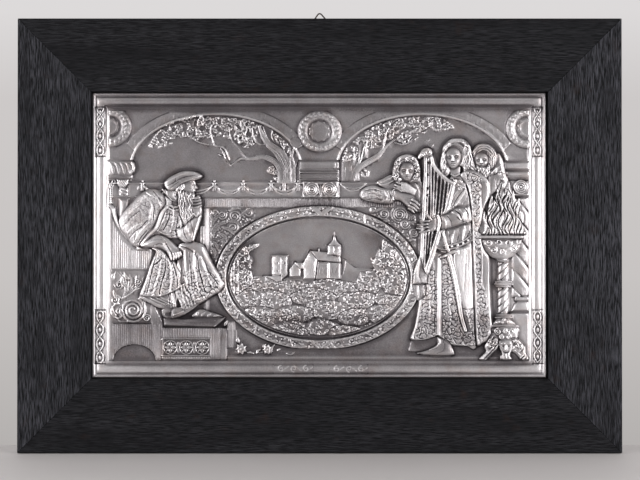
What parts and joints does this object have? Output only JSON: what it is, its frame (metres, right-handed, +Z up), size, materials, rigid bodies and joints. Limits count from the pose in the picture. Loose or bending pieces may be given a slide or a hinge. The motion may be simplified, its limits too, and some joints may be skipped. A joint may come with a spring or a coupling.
{
  "type": "relief plaque",
  "caption": "Silvered embossed metal relief of a court scene under two arches, in a wide flat ebonised oak frame with a wire hanging eye.",
  "frame": {"origin": "the point under the top of the wire eye where a wall nail bears", "axes": "+X to the viewer's right along the plaque, +Y from the plaque into the wall, +Z up; the relief faces -Y"},
  "size_m": [0.605, 0.0219, 0.4427],
  "materials": {
    "ebonised_oak": "open-grained oak stained black, dull wax sheen, worn brown at the edges",
    "silvered_plate": "silvered embossed copper sheet, dark patina in the hollows, rubbed bright on the high spots",
    "bare_board": "thin softwood board, unfinished and dusty",
    "hanger_steel": "dull browned steel wire and sheet"
  },
  "bodies": {
    "root": {"rail_top": "ebonised_oak", "rail_bottom": "ebonised_oak", "rail_left": "ebonised_oak", "rail_right": "ebonised_oak", "relief_plate": "silvered_plate", "backing_board": "bare_board", "hanger_eye": "hanger_steel", "hanger_strap": "hanger_steel", "hanger_screw_upper": "hanger_steel", "hanger_screw_lower": "hanger_steel"}
  },
  "joints": []
}
